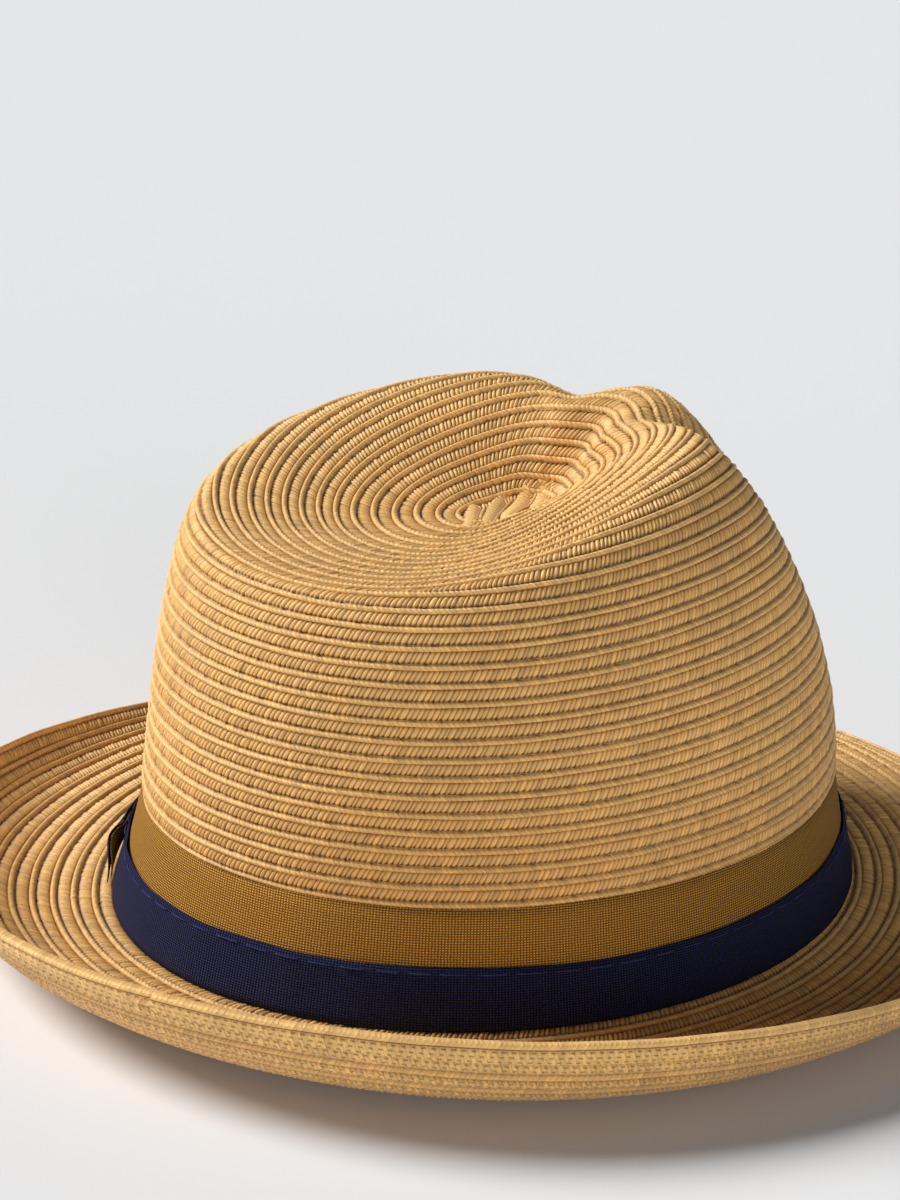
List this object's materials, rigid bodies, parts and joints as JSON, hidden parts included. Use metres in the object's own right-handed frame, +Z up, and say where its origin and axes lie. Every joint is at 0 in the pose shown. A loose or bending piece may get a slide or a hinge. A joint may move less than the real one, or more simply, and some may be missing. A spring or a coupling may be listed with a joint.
{
  "type": "fedora hat",
  "caption": "Short-brim fedora sewn from straw braid, with a dented, pinched crown, two-colour ribbon band, side bow, curled brim and inner sweatband.",
  "frame": {"origin": "centre of the bounding box on the surface the hat stands on", "axes": "+Z up, -Y towards the front of the hat, +X towards the wearer's left, where the bow is"},
  "size_m": [0.2766, 0.3044, 0.1269],
  "materials": {
    "straw_braid": "twisted paper-straw braid, low sheen",
    "mustard_grosgrain": "ribbed grosgrain ribbon, matte",
    "navy_grosgrain": "ribbed grosgrain ribbon, matte",
    "navy_thread": "polyester sewing thread",
    "cotton_sweatband": "plain cotton twill, matte",
    "pale_thread": "polyester sewing thread",
    "label_cloth": "blank woven label",
    "nylon_line": "clear nylon monofilament"
  },
  "bodies": {
    "hat": {"crown": "straw_braid", "brim": "straw_braid", "brim_edge_braid": "straw_braid", "brim_edge_line": "nylon_line", "band_mustard": "mustard_grosgrain", "band_navy": "navy_grosgrain", "band_seam_thread": "navy_thread", "bow_wings": "navy_grosgrain", "bow_lining": "mustard_grosgrain", "bow_knot": "navy_grosgrain", "sweatband": "cotton_sweatband", "sweatband_stitching": "pale_thread", "sweatband_back_seam": "cotton_sweatband"},
    "label": {"care_label": "label_cloth"}
  },
  "joints": [
    {"name": "care_label_flip", "type": "hinge", "parent": "hat", "child": "label", "pos_m": [0.02741, 0.0858, 0.0304], "axis": [-0.8659, 0.5003, 0], "range_deg": [0, 150]}
  ]
}
